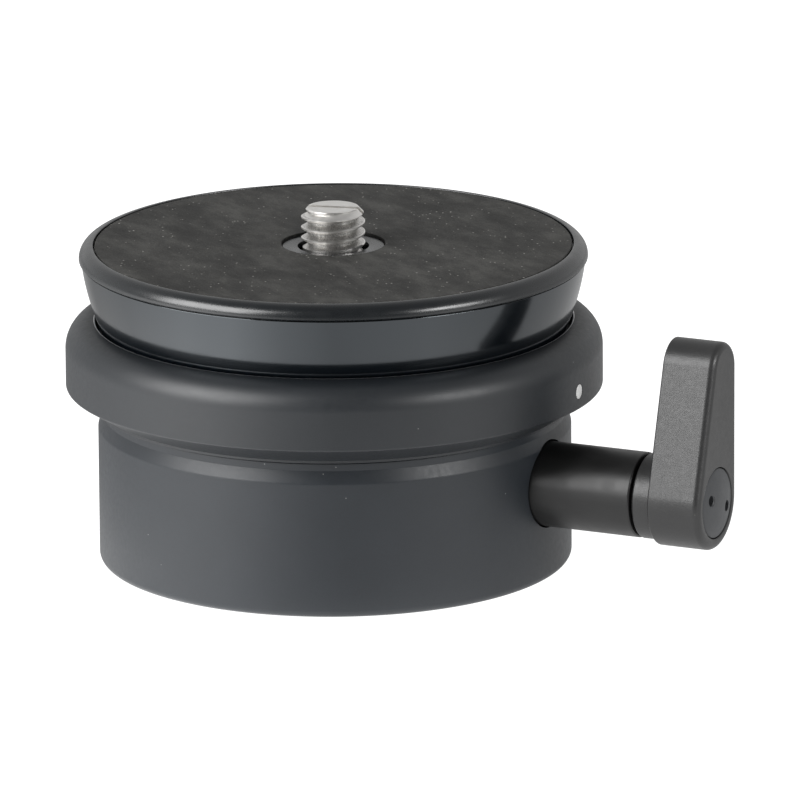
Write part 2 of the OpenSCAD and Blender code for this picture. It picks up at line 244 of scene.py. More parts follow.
def lofted(name, rings, closed=True):
    """Bands between rings of points; points that coincide are one vertex."""
    verts, faces, table = [], [], {}

    def vertex(p):
        key = (round(p[0], 5), round(p[1], 5), round(p[2], 5))
        if key not in table:
            table[key] = len(verts)
            verts.append(Vector(p) * MM)
        return table[key]

    rows = [[vertex(p) for p in ring] for ring in rings]
    count = len(rows)
    for i in range(count if closed else count - 1):
        a, b = rows[i], rows[(i + 1) % count]
        n = len(a)
        for j in range(n):
            quad = [a[j], a[(j + 1) % n], b[(j + 1) % n], b[j]]
            kept = [v for k, v in enumerate(quad) if v not in quad[:k]]
            if len(kept) > 2:
                faces.append(kept)
    mesh = bpy.data.meshes.new(name)
    mesh.from_pydata(verts, [], faces)
    bm = bmesh.new()
    bm.from_mesh(mesh)
    bmesh.ops.recalc_face_normals(bm, faces=bm.faces)
    bm.to_mesh(mesh)
    bm.free()
    return link(name, mesh)


def thread_rows(pitch, crest, root, flat_crest, flat_root, steps=3):
    """One pitch of a sixty-degree thread as (height share, radius), from a root to the next."""
    flank = (pitch - flat_crest - flat_root) / 2
    rows = [(0.0, root), (flat_root / 2, root)]
    for i in range(1, steps):
        rows.append((flat_root / 2 + flank * i / steps, root + (crest - root) * i / steps))
    rows += [(flat_root / 2 + flank, crest), (flat_root / 2 + flank + flat_crest, crest)]
    for i in range(1, steps):
        rows.append((flat_root / 2 + flank + flat_crest + flank * i / steps,
                     crest - (crest - root) * i / steps))
    rows.append((pitch - flat_root / 2, root))
    return rows


def thread_radius(rows, pitch, share):
    """Radius of the profile at any height; the profile repeats every pitch."""
    share %= pitch
    line = rows + [(rows[0][0] + pitch, rows[0][1])]
    for (s0, r0), (s1, r1) in zip(line, line[1:]):
        if s0 <= share <= s1:
            return r0 + (r1 - r0) * (share - s0) / (s1 - s0)
    return rows[0][1]


def helix(rows, pitch, z0, z1, phase, seg, limit):
    """Grid of a right-hand helical surface between z0 and z1.

    Each row of the thread profile is one line along the helix, so its crests
    and roots stay clean. The rows past an end meet in one point there.
    limit(r, z) trims the radius. Returns the points as columns round the axis."""
    k = len(rows)
    first = math.floor((z0 - phase) / pitch) - 2
    last = math.ceil((z1 - phase) / pitch) + 1
    columns = []
    for j in range(seg + 1):
        t = 2 * math.pi * j / seg
        column = []
        for turn in range(first, last + 1):
            for share, r in rows:
                z = phase + pitch * turn + share + pitch * j / seg
                zz = min(max(z, z0), z1)
                rr = limit(r if zz == z else thread_radius(rows, pitch, zz - phase - pitch * j / seg), zz)
                column.append((rr * math.cos(t), rr * math.sin(t), zz))
        columns.append(column)
    return columns, k


def from_columns(name, columns, k, tops):
    """Closes a helical grid into a solid. tops are rings, outermost first, that
    go on from the upper and then from the lower end; the last may be one point."""
    verts, faces, table = [], [], {}

    def vertex(p):
        key = (round(p[0], 5), round(p[1], 5), round(p[2], 5))
        if key not in table:
            table[key] = len(verts)
            verts.append(Vector(p) * MM)
        return table[key]

    def face(ids):
        kept = [v for i, v in enumerate(ids) if v not in ids[:i]]
        if len(kept) > 2:
            faces.append(kept)

    grid = [[vertex(p) for p in col] for col in columns]
    for j in range(len(grid) - 1):
        for i in range(len(grid[0]) - 1):
            face([grid[j][i], grid[j + 1][i], grid[j + 1][i + 1], grid[j][i + 1]])
    n = len(columns) - 1
    for end, rings in zip((-1, 0), tops):
        edge = [grid[j][end] for j in range(n)]
        for ring in rings:
            if len(ring) == 1:
                tip = vertex(ring[0])
                for j in range(n):
                    face([edge[j], edge[(j + 1) % n], tip])
            else:
                nxt = [vertex(p) for p in ring]
                for j in range(n):
                    face([edge[j], edge[(j + 1) % n], nxt[(j + 1) % n], nxt[j]])
                edge = nxt
    return verts, faces, grid, vertex


def solid(name, verts, faces):
    mesh = bpy.data.meshes.new(name)
    mesh.from_pydata(verts, [], faces)
    bm = bmesh.new()
    bm.from_mesh(mesh)
    bmesh.ops.remove_doubles(bm, verts=bm.verts, dist=1e-8)
    bmesh.ops.recalc_face_normals(bm, faces=bm.faces)
    bm.to_mesh(mesh)
    bm.free()
    return link(name, mesh)


def circle_points(r, z, n):
    return [(r * math.cos(2 * math.pi * j / n), r * math.sin(2 * math.pi * j / n), z) for j in range(n)]


# --------------------------------------------------------------------------
# materials
# --------------------------------------------------------------------------

class Nodes:
    """A Principled material that is put together node by node."""

    def __init__(self, name):
        self.mat = bpy.data.materials.new(name)
        self.mat.use_nodes = True
        self.tree = self.mat.node_tree
        self.tree.nodes.clear()
        self.out = self.add("ShaderNodeOutputMaterial")
        self.bsdf = self.add("ShaderNodeBsdfPrincipled")
        self.join(self.bsdf.outputs[0], self.out.inputs["Surface"])
        self.coords = self.add("ShaderNodeTexCoord").outputs["Object"]

    def add(self, kind, **values):
        node = self.tree.nodes.new(kind)
        for key, value in values.items():
            setattr(node, key, value)
        return node

    def join(self, a, b):
        self.tree.links.new(a, b)

    def put(self, socket, value):
        if hasattr(value, "is_output"):
            self.join(value, socket)
        else:
            socket.default_value = value

    def set(self, **values):
        for key, value in values.items():
            name = key.replace("_", " ").title().replace("Ior", "IOR")
            self.put(self.bsdf.inputs[name], value)

    def noise(self, scale, detail=2.0, rough=0.5, vector=None, distortion=0.0):
        n = self.add("ShaderNodeTexNoise")
        self.join(vector or self.coords, n.inputs["Vector"])
        n.inputs["Scale"].default_value = scale
        n.inputs["Detail"].default_value = detail
        n.inputs["Roughness"].default_value = rough
        n.inputs["Distortion"].default_value = distortion
        return n.outputs["Fac"]

    def cells(self, scale, vector=None, feature="F1", out="Distance", randomness=1.0):
        n = self.add("ShaderNodeTexVoronoi", feature=feature)
        self.join(vector or self.coords, n.inputs["Vector"])
        n.inputs["Scale"].default_value = scale
        n.inputs["Randomness"].default_value = randomness
        return n.outputs[out]

    def mapped(self, scale=(1, 1, 1), rotation=(0, 0, 0), vector=None):
        n = self.add("ShaderNodeMapping")
        self.join(vector or self.coords, n.inputs["Vector"])
        n.inputs["Rotation"].default_value = [math.radians(a) for a in rotation]
        n.inputs["Scale"].default_value = scale
        return n.outputs[0]

    def ramp(self, fac, stops, interpolation="LINEAR"):
        n = self.add("ShaderNodeValToRGB")
        self.join(fac, n.inputs["Fac"])
        ramp = n.color_ramp
        ramp.interpolation = interpolation
        while len(ramp.elements) < len(stops):
            ramp.elements.new(0.5)
        for element, (pos, colour) in zip(ramp.elements, stops):
            element.position = pos
            element.color = colour if len(colour) == 4 else (*colour, 1.0)
        return n.outputs["Color"]

    def math(self, operation, a, b=0.0, c=0.0, clamp=False):
        n = self.add("ShaderNodeMath", operation=operation, use_clamp=clamp)
        self.put(n.inputs[0], a)
        self.put(n.inputs[1], b)
        self.put(n.inputs[2], c)
        return n.outputs[0]

    def remap(self, value, a, b, c, d, smooth=False):
        n = self.add("ShaderNodeMapRange", interpolation_type="SMOOTHSTEP" if smooth else "LINEAR")
        self.put(n.inputs["Value"], value)
        for name, number in zip(("From Min", "From Max", "To Min", "To Max"), (a, b, c, d)):
            n.inputs[name].default_value = number
        return n.outputs[0]

    def mix(self, fac, a, b, blend="MIX"):
        n = self.add("ShaderNodeMix", data_type="RGBA", blend_type=blend)
        self.put(n.inputs["Factor"], fac)
        for socket, value in ((n.inputs[6], a), (n.inputs[7], b)):
            self.put(socket, value if hasattr(value, "is_output") or len(value) == 4 else (*value, 1.0))
        return n.outputs[2]

    def split(self, vector=None):
        n = self.add("ShaderNodeSeparateXYZ")
        self.join(vector or self.coords, n.inputs[0])
        return n.outputs

    def gather(self, x=0.0, y=0.0, z=0.0):
        n = self.add("ShaderNodeCombineXYZ")
        for socket, value in zip(n.inputs, (x, y, z)):
            self.put(socket, value)
        return n.outputs[0]

    def bump(self, height, strength, distance, normal=None):
        n = self.add("ShaderNodeBump")
        n.inputs["Strength"].default_value = strength
        n.inputs["Distance"].default_value = distance
        self.join(height, n.inputs["Height"])
        if normal is not None:
            self.join(normal, n.inputs["Normal"])
        return n.outputs[0]


def blasted(name, dark, light, rough=(0.42, 0.55), specular=0.5, grain=0.25, dust=0.0, glint_edge=None, inner_shade=None):
    """Bead-blasted and anodised aluminium: a fine even grain, soft clouding, a little dust.
    The edge pair is the (radius, height) of an inner edge painted bright bare metal, a painted highlight that stands
    for the edge's glint, and the shade triple the (inner radius, outer radius, specular) of painted shade, darker
    colour and lower specular, on the top next to the bore, where the ball and the platform shade it."""
    m = Nodes(name)
    fine = m.noise(5200, 2.0, 0.6)
    cloud = m.noise(95, 4.0, 0.55)
    tone = m.math("ADD", m.math("MULTIPLY", fine, 0.45), m.math("MULTIPLY", cloud, 0.55))
    colour = m.ramp(tone, [(0.33, dark), (0.66, light)])
    if dust:
        speck = m.cells(620)
        gate = m.noise(300, 0.0)
        grit = m.math("MULTIPLY", m.remap(speck, 0.03, 0.07, 1.0, 0.0), m.remap(gate, 0.66, 0.70, 0.0, 1.0))
        colour = m.mix(m.math("MULTIPLY", grit, dust), colour, (0.30, 0.30, 0.29))
    level = specular
    if glint_edge or inner_shade:
        x, y, z = m.split()
        radius = m.math("SQRT", m.math("ADD", m.math("MULTIPLY", x, x), m.math("MULTIPLY", y, y)))
    # painted shade: the top near the bore is made darker and less glossy, standing for the shade of the ball and the
    # platform above it
    if inner_shade:
        near = m.math("MULTIPLY", m.remap(radius, inner_shade[0] * MM, inner_shade[1] * MM, 1.0, 0.0),
                      m.remap(z, 33.0 * MM, 34.5 * MM, 0.0, 1.0))
        colour = m.mix(m.math("MULTIPLY", near, 0.6), colour, (0.003, 0.004, 0.005))
        level = m.remap(near, 0.0, 1.0, specular, inner_shade[2])
    # painted highlight: a thin band on the inner top edge is coloured bright bare metal, standing for the edge's glint
    if glint_edge:
        edge = m.math("MULTIPLY", m.remap(radius, glint_edge[0] * MM, (glint_edge[0] + 0.03) * MM, 1.0, 0.0),
                      m.remap(z, (glint_edge[1] - 0.03) * MM, glint_edge[1] * MM, 0.0, 1.0))
        colour = m.mix(edge, colour, (0.78, 0.78, 0.79))
        m.set(metallic=edge)
    m.set(base_color=colour, roughness=m.remap(m.noise(1400, 3.0, 0.6), 0.3, 0.7, rough[0], rough[1]),
          specular_ior_level=level, normal=m.bump(fine, grain, 0.00004))
    return m.mat


def satin_turned(name, dark, light, rough=(0.2, 0.3), specular=0.5, line=0.12, coat=0.0, axis="Z", metallic=0.0, tint=None):
    """Turned and anodised: faint lines round the axis, over an even satin skin."""
    m = Nodes(name)
    x, y, z = m.split()
    if axis == "Z":
        radius = m.math("SQRT", m.math("ADD", m.math("MULTIPLY", x, x), m.math("MULTIPLY", y, y)))
        along = m.gather(radius, 0.0, z)
    else:
        dz = m.math("SUBTRACT", z, SHAFT_Z * MM)
        radius = m.math("SQRT", m.math("ADD", m.math("MULTIPLY", y, y), m.math("MULTIPLY", dz, dz)))
        along = m.gather(radius, 0.0, x)
    lines = m.noise(6500, 2.0, 0.6, vector=along)
    cloud = m.noise(70, 3.0, 0.55)
    colour = m.ramp(m.math("ADD", m.math("MULTIPLY", lines, 0.4), m.math("MULTIPLY", cloud, 0.6)),
                    [(0.3, dark), (0.7, light)])
    m.set(base_color=colour, roughness=m.remap(m.noise(380, 3.0, 0.6), 0.3, 0.7, rough[0], rough[1]),
          metallic=metallic, specular_ior_level=specular,
          normal=m.bump(lines, line, 0.00002))
    if coat:
        m.set(coat_weight=coat, coat_roughness=0.08)
    if tint:
        m.set(specular_tint=(*tint, 1.0))
    return m.mat


def turned_metal(name, dark, light, rough=(0.2, 0.34), axis="Z", line=0.3, lines_scale=5200, grain=0.0, crest=None):
    """Bare turned metal: bright and dark lines round the axis.
    crest is the (radius, height) above which a thread keeps its own colour; below it the flanks and roots get patchy
    painted shade."""
    m = Nodes(name)
    x, y, z = m.split()
    if axis == "Z":
        radius = m.math("SQRT", m.math("ADD", m.math("MULTIPLY", x, x), m.math("MULTIPLY", y, y)))
        along = m.gather(radius, 0.0, z)
    else:
        dz = m.math("SUBTRACT", z, SHAFT_Z * MM)
        radius = m.math("SQRT", m.math("ADD", m.math("MULTIPLY", y, y), m.math("MULTIPLY", dz, dz)))
        along = m.gather(radius, 0.0, x)
    lines = m.noise(lines_scale, 2.0, 0.7, vector=along)
    stain = m.noise(420, 4.0, 0.6)
    colour = m.ramp(m.math("ADD", m.math("MULTIPLY", lines, 0.5), m.math("MULTIPLY", stain, 0.5)),
                    [(0.28, dark), (0.72, light)])
    # painted shade: the thread's flanks and roots are darkened in patches, standing for the shade in its hollows; the
    # crests and the top keep their colour
    if crest:
        crest_mask = m.math("MAXIMUM", m.remap(radius, (crest[0] - 0.22) * MM, (crest[0] - 0.10) * MM, 0.0, 1.0),
                       m.remap(z, (crest[1] - 0.02) * MM, crest[1] * MM, 0.0, 1.0))
        hollow_shade = m.math("MULTIPLY", m.math("SUBTRACT", 1.0, crest_mask), m.remap(m.noise(4600, 2.0, 0.7), 0.36, 0.64, 0.02, 0.58))
        colour = m.mix(hollow_shade, colour, (0.15, 0.147, 0.14))
    normal = m.bump(lines, line, 0.00002)
    if grain:
        normal = m.bump(m.noise(5600, 2.0, 0.7), grain, 0.00006, normal)
    m.set(base_color=colour, metallic=1.0,
          roughness=m.remap(m.noise(900, 3.0, 0.6), 0.3, 0.7, rough[0], rough[1]), normal=normal)
    return m.mat


def black_oxide(name):
    m = Nodes(name)
    grain = m.noise(2600, 3.0, 0.6)
    colour = m.ramp(grain, [(0.3, (0.012, 0.012, 0.013)), (0.75, (0.03, 0.03, 0.032))])
    m.set(base_color=colour, metallic=0.55, roughness=m.remap(m.noise(700, 3.0), 0.3, 0.7, 0.28, 0.42),
          normal=m.bump(grain, 0.15, 0.00003))
    return m.mat


def liner_plastic(name, dark, light):
    m = Nodes(name)
    grain = m.noise(900, 4.0, 0.6)
    m.set(base_color=m.ramp(grain, [(0.3, dark), (0.7, light)]),
          roughness=m.remap(m.noise(300, 2.0), 0.3, 0.7, 0.38, 0.5), subsurface_weight=0.0,
          normal=m.bump(grain, 0.1, 0.00003))
    return m.mat


def pad_material(name):
    """Cork-filled rubber, sanded along one direction: soft streaks and sparse pale grains."""
    m = Nodes(name)
    along = m.mapped((1.0, 0.45, 1.0), vector=m.mapped(rotation=(0, 0, 129)))
    cloud = m.noise(240, 4.0, 0.62, vector=along)
    streak = m.noise(900, 3.0, 0.6, vector=along)
    fine = m.noise(3600, 3.0, 0.65)
    tone = m.math("ADD", m.math("MULTIPLY", cloud, 0.5),
                  m.math("ADD", m.math("MULTIPLY", streak, 0.2), m.math("MULTIPLY", fine, 0.3)))
    colour = m.ramp(tone, [(0.41, (0.0130, 0.0127, 0.0117)), (0.5, (0.0266, 0.0261, 0.0241)),
                           (0.59, (0.0500, 0.0491, 0.0455))])
    grain = m.math("MULTIPLY", m.remap(m.cells(900), 0.07, 0.15, 1.0, 0.0), m.remap(m.noise(330, 2.0), 0.44, 0.60, 0.0, 1.0))
    colour = m.mix(m.math("MULTIPLY", grain, 0.7), colour, (0.45, 0.44, 0.41))
    height = m.math("ADD", m.math("MULTIPLY", fine, 0.7), m.math("MULTIPLY", streak, 0.5))
    m.set(base_color=colour, roughness=m.remap(streak, 0.3, 0.7, 0.66, 0.84), specular_ior_level=0.35,
          normal=m.bump(height, 0.45, 0.00009))
    return m.mat


def paint(name, dark, light):
    m = Nodes(name)
    grain = m.noise(1800, 3.0, 0.6)
    m.set(base_color=m.ramp(grain, [(0.3, dark), (0.7, light)]), roughness=0.45,
          normal=m.bump(grain, 0.15, 0.00004))
    return m.mat


M = {
    "body": blasted("body_anodised", (0.0105, 0.0135, 0.0172), (0.0152, 0.0188, 0.0236), rough=(0.39, 0.46), grain=0.10, dust=0.7),
    # the collar gets a painted highlight on its inner top edge and painted shade on its top next to the ball
    "ring": blasted("collar_anodised", (0.0082, 0.0103, 0.0127), (0.0118, 0.0143, 0.0174), rough=(0.40, 0.47), specular=0.57, dust=0.5, glint_edge=(35.48, 36.08),
                    inner_shade=(35.9, 38.2, 0.22)),
    "ball": satin_turned("ball_anodised", (0.0020, 0.0031, 0.0044), (0.0034, 0.0048, 0.0064), rough=(0.12, 0.17), specular=0.85, tint=(0.88, 0.945, 1.0)),
    "plate": satin_turned("plate_anodised", (0.0026, 0.0038, 0.0050), (0.0046, 0.0064, 0.0080), rough=(0.23, 0.30), specular=0.75),
    "lever": blasted("lever_anodised", (0.0165, 0.0165, 0.0168), (0.0245, 0.0245, 0.0248), rough=(0.32, 0.40), specular=0.55, grain=0.4, dust=0.4),
    "sleeve": satin_turned("sleeve_black", (0.005, 0.005, 0.005), (0.009, 0.009, 0.009), rough=(0.34, 0.44), axis="X"),
    "washer": satin_turned("washer_black", (0.003, 0.003, 0.003), (0.006, 0.006, 0.006), rough=(0.45, 0.6), axis="X"),
    "cap": satin_turned("cap_black", (0.0315, 0.0335, 0.036), (0.0465, 0.0490, 0.053), rough=(0.42, 0.52), axis="X", line=0.2),
    "stainless": turned_metal("stainless_steel", (0.50, 0.485, 0.46), (0.72, 0.705, 0.68), rough=(0.2, 0.32), line=0.15),
    # the stud's thread gets painted shade on its flanks and roots
    "stud": turned_metal("stud_steel", (0.72, 0.705, 0.68), (0.90, 0.885, 0.86), rough=(0.29, 0.39), line=0.06, lines_scale=2600, grain=0.45, crest=(4.72, 52.0)),
    "steel_dark": black_oxide("black_oxide_steel"),
    "steel_plain": turned_metal("plain_steel", (0.38, 0.38, 0.385), (0.6, 0.6, 0.6), rough=(0.22, 0.36)),
    "steel_x": turned_metal("plain_steel_shaft", (0.38, 0.38, 0.385), (0.6, 0.6, 0.6), rough=(0.22, 0.36), axis="X"),
    "bronze": turned_metal("bearing_bronze", (0.42, 0.26, 0.11), (0.62, 0.41, 0.19), rough=(0.28, 0.42)),
    "bronze_x": turned_metal("bearing_bronze_bush", (0.42, 0.26, 0.11), (0.62, 0.41, 0.19), rough=(0.28, 0.42), axis="X"),
    "liner": liner_plastic("liner_graphite", (0.020, 0.020, 0.021), (0.038, 0.038, 0.040)),
    "shoe": turned_metal("clamp_shoe_aluminium", (0.5, 0.51, 0.52), (0.68, 0.69, 0.7), rough=(0.3, 0.42)),
    "pad": pad_material("pad_rubber"),
    "dot": paint("dot_white", (0.72, 0.72, 0.71), (0.84, 0.84, 0.83)),
    "under": satin_turned("under_anodised", (0.018, 0.0187, 0.020), (0.032, 0.033, 0.035), rough=(0.32, 0.42), line=0.35),
}


def dress(obj, key):
    obj.data.materials.clear()
    obj.data.materials.append(M[key])
    return obj


def piece(obj, body, node, key):
    dress(obj, key)
    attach(obj, body)
    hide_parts(node)
    return obj


# --------------------------------------------------------------------------
# camera
# --------------------------------------------------------------------------

AZ, EL, ROLL, DIST = 25.1, 15.15, -0.4, 1800.0
SCALE = 6.762                          # pixels per millimetre at the target
TARGET = Vector((0, 0, 24))
TARGET_PX = (334.6, 396.9)

az, el = math.radians(AZ), math.radians(EL)
back = Vector((math.sin(az) * math.cos(el), -math.cos(az) * math.cos(el), math.sin(el)))
right = Vector((math.cos(az), math.sin(az), 0))
up = back.cross(right)
rot = Matrix((right, up, back)).transposed() @ Matrix.Rotation(math.radians(ROLL), 3, "Z")
right, up = rot.col[0], rot.col[1]
aim = TARGET + right * ((400 - TARGET_PX[0]) / SCALE) - up * ((400 - TARGET_PX[1]) / SCALE)
cam_data = bpy.data.cameras.new("camera")
cam_data.sensor_width = 36.0
cam_data.lens = SCALE * DIST / 800 * 36
cam_data.clip_start, cam_data.clip_end = 0.05, 60.0
cam = bpy.data.objects.new("camera", cam_data)
scene.collection.objects.link(cam)
place = rot.to_4x4()
place.translation = (aim + back * DIST) * MM
cam.matrix_world = place
scene.camera = cam


# --------------------------------------------------------------------------
# base
# --------------------------------------------------------------------------

body = turned("base_body_shell", rounded([
    (35.0, 0, 1.1), (35.0, 20.25, 1.1), (34.3, 22.1, 0.3), (34.3, 23.2, 0.12),
    (28.6, 23.2), (28.6, 20.0), (17.0, 20.0), (17.0, 4.0), (32.7, 4.0), (32.7, 0, 0.12)]), 360, normals=False)
holes = [
    turned("cutter", rounded([(0, 32.0), (6.55, 32.0), (6.55, 40.0), (0, 40.0)]), 128, "X", (0, 0, SHAFT_Z), normals=False),
    rod(4.5, 15.0, 33.0, 64, "X", (0, 0, SHAFT_Z)),
    rod(3.53, -26.2, -15.0, 64, "X", (0, 0, SHAFT_Z)),
]
for i in range(4):
    a = math.radians(45 + 90 * i)
    at = (30.3 * math.cos(a), 30.3 * math.sin(a), 0)
    holes.append(turned("cutter", [(0, 3.0), (2.35, 3.0), (2.35, 9.2), (1.35, 9.2), (1.35, 24.0), (0, 24.0)],
                        32, "Z", at, normals=False))
for i in range(3):
    a = math.radians(90 + 120 * i)
    holes.append(rod(1.52, 3.0, 10.2, 32, "Z", (25 * math.cos(a), 25 * math.sin(a), 0)))
cut(body, holes, 24)
piece(body, "housing", "base_body", "body")

plate = turned("base_plate_disc", rounded([
    (6.82, 0, 0.15), (32.6, 0, 0.4), (32.6, 4.0), (6.82, 4.0)]), SEG, normals=False)
holes = []
for i in range(3):
    a = math.radians(90 + 120 * i)
    at = (25 * math.cos(a), 25 * math.sin(a), 0)
    holes.append(turned("cutter", [(0, -1.0), (3.02, -1.0), (3.02, 0.0), (1.52, 1.7), (1.52, 6.0), (0, 6.0)],
                        48, "Z", at, normals=False))
cut(plate, holes, 24)
piece(plate, "housing", "base_plate", "under")

# three countersunk screws with hexagon sockets, heads down
parts = []
for i in range(3):
    a = math.radians(90 + 120 * i)
    at = (25 * math.cos(a), 25 * math.sin(a), 0)
    screw = turned("base_plate_screw", rounded([
        (0, 0.05), (2.95, 0.05, 0.12), (1.5, 1.7), (1.5, 9.3), (1.2, 9.65), (0, 9.65)]), 64, "Z", at, normals=False)
    key = prism(6, 1.15, -0.5, 1.37, at, 11 + 37 * i)
    cone = turned("cutter", [(0, 1.3), (1.0, 1.3), (0, 1.85)], 32, "Z", at, normals=False)
    lead = turned("cutter", [(0, -0.2), (1.42, -0.2), (0, 1.22)], 48, "Z", at, normals=False)
    cut(screw, [key, cone, lead], 24)
    parts.append(screw)
merged = bmesh.new()
for s in parts:
    merged.from_mesh(s.data)
mesh = bpy.data.meshes.new("base_plate_screw_set")
merged.to_mesh(mesh)
merged.free()
for s in parts:
    bpy.data.objects.remove(s)
screws = shade(link("base_plate_screw_set", mesh), 24)
piece(screws, "housing", "base_plate_screws", "steel_dark")

# tripod socket with its internal thread
PITCH = 25.4 / 16
N = 120
rows = thread_rows(PITCH, 3.97, 4.74, PITCH / 4, PITCH / 8)


def socket_limit(r, z):
    return max(r, 4.95 - z if z < 1.0 else r, 3.97 + (z - 9.4) * 1.2 if z > 9.4 else r)


columns, k = helix(rows, PITCH, 0.0, 10.0, 0.2, N, socket_limit)
low_ring = [circle_points(6.65, 0.0, N), circle_points(6.8, 0.15, N), circle_points(6.8, 4.0, N),
            circle_points(8.2, 4.0, N), circle_points(8.2, 5.2, N), circle_points(6.8, 5.2, N),
            circle_points(6.8, 10.0, N)]
verts, faces, grid, vertex = from_columns("socket", columns, k, ([], low_ring))
edge = [vertex(p) for p in circle_points(6.8, 10.0, N)]
top = [grid[j][-1] for j in range(N)]
for j in range(N):
    faces.append([edge[j], edge[(j + 1) % N], top[(j + 1) % N], top[j]])
insert = shade(solid("tripod_socket_insert", verts, faces), 35)
piece(insert, "housing", "thread_insert", "stainless")

# --------------------------------------------------------------------------
# collar
# --------------------------------------------------------------------------

BORE = 37.9
edge_z = RING_TOP - 0.006
outline = rounded([
    (27.6, 20.5), (28.55, 20.5), (28.55, 23.2), (33.9, 23.2), (33.9, 23.5),
    (35.3, 23.5, 0.08), (35.3, 23.85, 0.08), (39.7, 26.5, 0.35)] +
    arc(RING_R - RING_ROUND, RING_TOP - RING_ROUND, RING_ROUND, 0, 87, 22) +
    [(sphere_r(BORE, edge_z), edge_z, 0.18), (sphere_r(BORE, 35.6), 35.6)])
# inside: sphere, groove of the seat liner, sphere again, foot
angles = [(math.degrees(math.asin((BALL_Z - 35.6) / BORE)) + 0.2, 23.5, BORE), (23.5, 34.5, 39.0),
          (34.5, math.degrees(math.acos(27.6 / BORE)), BORE)]
inside = []
for a0, a1, r in angles:
    steps = max(4, int(abs(a1 - a0) * 1.2))
    for i in range(steps + 1):
        a = math.radians(a0 + (a1 - a0) * i / steps)
        inside.append((r * math.cos(a), BALL_Z - r * math.sin(a)))
ring = turned("collar_ring_shell", outline + [Vector(p) for p in inside], 360, normals=False)
holes = [rod(1.12, RING_R - 0.4, RING_R + 2, 48, "X", (0, 0, DOT_Z))]
for i in range(4):
    a = math.radians(45 + 90 * i)
    holes.append(rod(1.27, 22.2, 25.2, 32, "Z", (30.3 * math.cos(a), 30.3 * math.sin(a), 0)))
cut(ring, holes, 24)
piece(ring, "housing", "collar_ring", "ring")

# index dot: paint in a drilled seat, a little sunk at its edge
rings = []
for r, h in ((0.0, -0.39), (1.1, -0.39), (1.1, -0.07), (1.02, -0.03), (0.8, -0.012), (0.5, -0.008), (0.0, -0.006)):
    loop = []
    for j in range(48):
        t = 2 * math.pi * j / 48
        y, z = r * math.cos(t), r * math.sin(t)
        loop.append((math.sqrt((RING_R + h) ** 2 - y * y), y, DOT_Z + z))
    rings.append(loop)
dot = shade(lofted("index_dot_paint", rings, closed=False), 40)
piece(dot, "housing", "index_dot", "dot")

# --------------------------------------------------------------------------
# platform
# --------------------------------------------------------------------------

top_a = math.degrees(math.asin((BALL_Z - 45.2 + 0.05) / BALL_R))
low_a = math.degrees(math.asin((BALL_Z - 27.5 - 0.3) / BALL_R))
outer = [(BALL_R * math.cos(math.radians(-top_a - (low_a - top_a) * i / 60)),
          BALL_Z + BALL_R * math.sin(math.radians(-top_a - (low_a - top_a) * i / 60))) for i in range(61)]
in_r = BALL_R - 4.0
a_low = math.degrees(math.asin((BALL_Z - 27.5) / in_r))
a_top = math.degrees(math.asin((BALL_Z - 43.8) / in_r))
inner = [(in_r * math.cos(math.radians(-a_low + (a_low - a_top) * i / 40)),
          BALL_Z + in_r * math.sin(math.radians(-a_low + (a_low - a_top) * i / 40))) for i in range(41)]
ball = turned("half_ball_shell",
              [(31.9, 45.2), (outer[0][0] - 0.05, 45.2), (outer[0][0] - 0.012, 45.188)] + outer +
              [(outer[-1][0] - 0.35, 27.5)] + inner + [(31.9, 43.8)], 360, normals=False)
holes = []
for i in range(8):
    a = math.radians(22.5 + 45 * i)
    holes.append(rod(1.02, 43.0, 46.4, 32, "Z", (33.45 * math.cos(a), 33.45 * math.sin(a), 0)))
cut(ball, holes, 24)
piece(ball, "platform", "half_ball", "ball")

rim = arc(35.6, 45.65, 1.95, 0, 88, 20)
top_outline = ([(4.02, 40.0), (9.0, 40.0), (9.0, 44.0), (31.85, 44.0), (31.85, 45.2), (36.75, 45.2), (36.75, 45.4)] +
               [(37.35, 45.4), (37.55, 45.6)] + rim +
               [(35.6, 47.6), (35.53, 47.585), (35.48, 47.55), (35.455, 47.5), (35.45, 47.44), (35.45, 46.5), (35.42, 46.43),
                (35.35, 46.4), (7.55, 46.4), (7.55, 47.07), (7.47, 47.15), (5.37, 47.15), (5.28, 47.12), (5.25, 47.03),
                (5.25, 44.6), (4.02, 44.6)])
top = turned("top_plate_disc", top_outline, 360, normals=False)
holes = []
for i in range(8):
    a = math.radians(22.5 + 45 * i)
    at = (33.45 * math.cos(a), 33.45 * math.sin(a), 0)
    holes.append(turned("cutter", [(0, 43.0), (1.02, 43.0), (1.02, 45.45), (1.92, 46.4), (1.92, 46.9), (0, 46.9)],
                        32, "Z", at, normals=False))
grub = rod(1.52, 0.0, 12.0, 32, "Z")
grub.data.transform(Matrix.Translation((0, 0, 0.042)) @ Matrix.Rotation(math.radians(-90), 4, "X"))
holes.append(grub)
cut(top, holes, 24)
piece(top, "platform", "top_plate", "plate")

pad = turned("grip_pad_disc", rounded([
    (7.65, 46.4), (35.2, 46.4), (35.2, 47.55, 0.18), (7.65, 47.55, 0.14)]), SEG)
piece(pad, "platform", "grip_pad", "pad")

# camera stud with its thread, chamfered top and screwdriver slot
STUD_R, STUD_ROOT = 4.72, 3.76
STUD_TOP = 53.0
N = 160
rows = thread_rows(PITCH, STUD_R, STUD_ROOT, PITCH / 8, PITCH / 6, 5)


def stud_limit(r, z):
    if z > 52.0:
        r = min(r, 4.72 - (z - 52.0) * 0.95)
    if z < LIP_Z:
        r = min(r, 4.52)
    if z < 45.2:
        r = min(r, 4.15)
    return r


